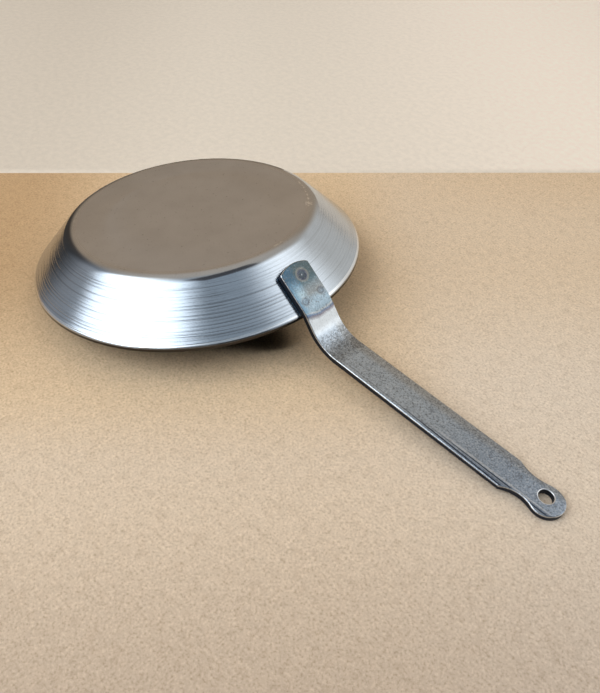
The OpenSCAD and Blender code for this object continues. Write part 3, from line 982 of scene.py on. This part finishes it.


# Paper: one colour with a faint mottle, flecks and fibres as its grain, and washes of other tones, which
# on the floor are painted light and shade
def makePaper(name, colour, grain, washes):
    material, tree, surface = newMaterial(name)
    here = addNode(tree, "TexCoord", {}).outputs["Object"]
    mottle = noiseAt(tree, here, studio["paperMottle"], 3.0, 0.6)
    tooth = noiseAt(tree, here, studio["paperTooth"], 2.0, 0.7)
    fibre = noiseAt(tree, here, studio["paperTooth"] * 2.3, 1.0, 0.5, shift=5.0)
    tone = tint(tree, rise(tree, mottle, 0.3, 0.7), shade(colour, 0.96), shade(colour, 1.03))
    for noise, full, amount, wash in ((tooth, 0.72, grain, studio["fleckDark"]),
                                      (tooth, 0.3, grain, studio["fleckLight"]),
                                      (fibre, 0.7, grain * 0.5, studio["fibreDark"])):
        tone = tint(tree, rise(tree, noise, 0.5, full, 0.0, amount), tone, wash, "MULTIPLY")
    fromEdge = vectorCalc(tree, "SUBTRACT", here, edgePoint)
    along = vectorCalc(tree, "DOT_PRODUCT", fromEdge, edgeAlong, "Value")
    back = vectorCalc(tree, "DOT_PRODUCT", fromEdge, edgeBack, "Value")
    # the washes; on the floor they are painted light and shade
    for alongFrom, alongTo, backFrom, backTo, wash in washes:
        share = times(tree, rise(tree, along, alongFrom, alongTo),
                      rise(tree, back, backFrom, backTo))
        tone = tint(tree, share, tone, wash, "MULTIPLY")
    tree.links.new(tone, surface.inputs["Base Color"])
    surface.inputs["Roughness"].default_value = studio["paperRoughness"]
    surface.inputs["Specular IOR Level"].default_value = studio["paperShine"]
    tree.links.new(bumpFrom(tree, [(tooth, 0.12 * grain)]), surface.inputs["Normal"])
    return material


floorPaper = makePaper("floorPaper", studio["floorColour"], studio["floorGrain"], studio["floorLightWashes"])
backSheet = makePaper("backSheet", studio["sheetColour"], studio["sheetGrain"], studio["sheetWashes"])
sideways, outward = studio["reach"] * edgeAlong, studio["reach"] * edgeBack
addPlane("paperFloor", [edgePoint + sideways, edgePoint - sideways, edgePoint - sideways - outward,
                        edgePoint + sideways - outward], floorPaper)
addPlane("sheetBehind", [edgePoint - sideways, edgePoint + sideways, edgePoint + sideways + outward,
                         edgePoint - sideways + outward], backSheet)
print("papers laid")


def directionOf(azimuth, elevation):
    a, e = math.radians(azimuth), math.radians(elevation)
    return Vector((math.cos(a) * math.cos(e), math.sin(a) * math.cos(e), math.sin(e)))


# An area lamp whose cloth gets dimmer towards its edges
def addSoftBox(name, azimuth, elevation, distance, width, height, radiance, sides, foot, head):
    data = bpy.data.lights.new(name, "AREA")
    data.shape = "RECTANGLE"
    data.size = width
    data.size_y = height
    data.color = studio["boxColour"]
    data.energy = radiance * math.pi * width * height  # watts for that radiance
    data.use_nodes = True
    tree = data.node_tree
    onCloth = addNode(tree, "NewGeometry", {}).outputs["Parametric"]
    cloth = addNode(tree, "SeparateXYZ", {"Vector": onCloth})
    across, up = cloth.outputs["X"], cloth.outputs["Y"]
    rising = times(tree, rise(tree, up, 0.0, foot), rise(tree, up, 1 - head, 1.0, 1.0, 0.0))
    glow = times(tree, band(tree, across, sides, 1 - sides, sides), rising)
    tree.links.new(glow, tree.nodes["Emission"].inputs["Strength"])
    box = addObject(name, data)
    toward = directionOf(azimuth, elevation)
    box.location = toward * distance + Vector(studio["panSpot"])
    box.rotation_mode = "QUATERNION"
    box.rotation_quaternion = toward.to_track_quat("Z", "Y")
    box.visible_camera = False


for boxName, settings in studio["softBoxes"].items():
    addSoftBox(boxName, *settings)


# A black card out of the camera's sight, for dark reflections in the steel and deeper shade on the paper
def addBlackCard(name, azimuth, elevation, distance, width, height, tone, inGloss, shades):
    material, tree, surface = newMaterial(name)
    glow = addNode(tree, "Emission", {"Color": (tone, tone, tone * 1.1, 1), "Strength": 1.0})
    tree.links.new(glow.outputs["Emission"], tree.nodes["Material Output"].inputs["Surface"])
    toward = directionOf(azimuth, elevation)
    across = Vector((0, 0, 1)).cross(toward).normalized() * width / 2
    upward = toward.cross(across).normalized() * height / 2
    middle = toward * distance + Vector(studio["panSpot"])
    card = addPlane(name, [middle - across - upward, middle + across - upward,
                           middle + across + upward, middle - across + upward], material)
    card.visible_camera = False
    card.visible_diffuse = card.visible_shadow = shades
    card.visible_glossy = inGloss


for cardName, spread in studio["blackCards"].items():
    addBlackCard(cardName, *spread)


# A curved glowing card close to the pan's left side, seen only as a reflection in the steel: its colours
# run round it, its top and right edge are soft
def addCurvedCard(name, look):
    material, tree, surface = newMaterial(name)
    start, end = look["azimuths"]
    foot, head = look["foot"], look["head"]
    azimuth = markValue(tree, "azimuth", "Fac")
    lift = markValue(tree, "lift", "Fac")
    brighter = rise(tree, lift, *look["brighter"])
    tone = tint(tree, 1.0, colourRun(tree, azimuth, look["tones"]), brighter, "MULTIPLY")
    glow = addNode(tree, "Emission", {"Color": tone, "Strength": 1.0}).outputs["Emission"]
    clear = addNode(tree, "BsdfTransparent", {}).outputs["BSDF"]
    above = calc(tree, "SUBTRACT", lift, rise(tree, azimuth, *look["topLine"]))
    fade = times(tree, rise(tree, azimuth, end - look["softSide"], end, 1.0, 0.0),
                 rise(tree, above, 0.0, look["softTop"], 1.0, 0.0))
    mixed = addNode(tree, "MixShader", {0: fade, 1: clear, 2: glow}).outputs["Shader"]
    tree.links.new(mixed, tree.nodes["Material Output"].inputs["Surface"])
    corners, azimuths, lifts = [], [], []
    count = look["steps"]
    for k in range(count + 1):
        at = start + (end - start) * k / count
        out = look["radius"] * directionOf(at, 0) + Vector((studio["panSpot"][0], 0, 0))
        corners += [out + Vector((0, 0, foot)), out + Vector((0, 0, head))]
        azimuths += [at, at]
        lifts += [foot / mm, head / mm]
    mesh = bpy.data.meshes.new(name)
    mesh.from_pydata(corners, [], [(2 * k, 2 * k + 2, 2 * k + 3, 2 * k + 1) for k in range(count)])
    mesh.attributes.new("azimuth", "FLOAT", "POINT").data.foreach_set("value", azimuths)
    mesh.attributes.new("lift", "FLOAT", "POINT").data.foreach_set("value", lifts)
    mesh.materials.append(material)
    card = addObject(name, mesh)
    card.visible_camera = card.visible_shadow = card.visible_diffuse = False


addCurvedCard("cardLeft", studio["leftCard"])


# A black flag low under the raised rim: only the paper beneath it notices, so the shadow there is deep
def addFlag(name, height, outline):
    material, tree, surface = newMaterial(name)
    surface.inputs["Base Color"].default_value = (0, 0, 0, 1)
    surface.inputs["Specular IOR Level"].default_value = 0
    flag = addPlane(name, [Vector((x, y, height)) for x, y in outline], material)
    flag.visible_camera = flag.visible_glossy = False


addFlag("rimFlag", *studio["rimFlag"])

world = bpy.data.worlds.new("room")
bpy.context.scene.world = world
world.use_nodes = True
tree = world.node_tree
here = addNode(tree, "TexCoord", {}).outputs["Generated"]
room = studio["room"]
for azimuth, elevation, low, high, colour in studio["roomParts"]:
    near = vectorCalc(tree, "DOT_PRODUCT", here, directionOf(azimuth, elevation), "Value")
    room = tint(tree, rise(tree, near, low, high), room, colour)
tree.links.new(room, tree.nodes["Background"].inputs["Color"])
tree.nodes["Background"].inputs["Strength"].default_value = 1.0
print("lights and cards placed")

# The camera stands where the photograph was taken from
view = {
    "sensor": 36,
    "lens": 34.81,
    "place": (0.24096, -0.24825, 0.31824),
    "turns": (45.615, -1.859, 44.339),
}
cameraData = bpy.data.cameras.new("view")
cameraData.sensor_width = view["sensor"]
cameraData.lens = view["lens"]
camera = addObject("view", cameraData)
camera.location = view["place"]
camera.rotation_euler = [math.radians(angle) for angle in view["turns"]]
bpy.context.scene.camera = camera
bpy.context.scene.view_settings.view_transform = "Standard"

print("scene ready")
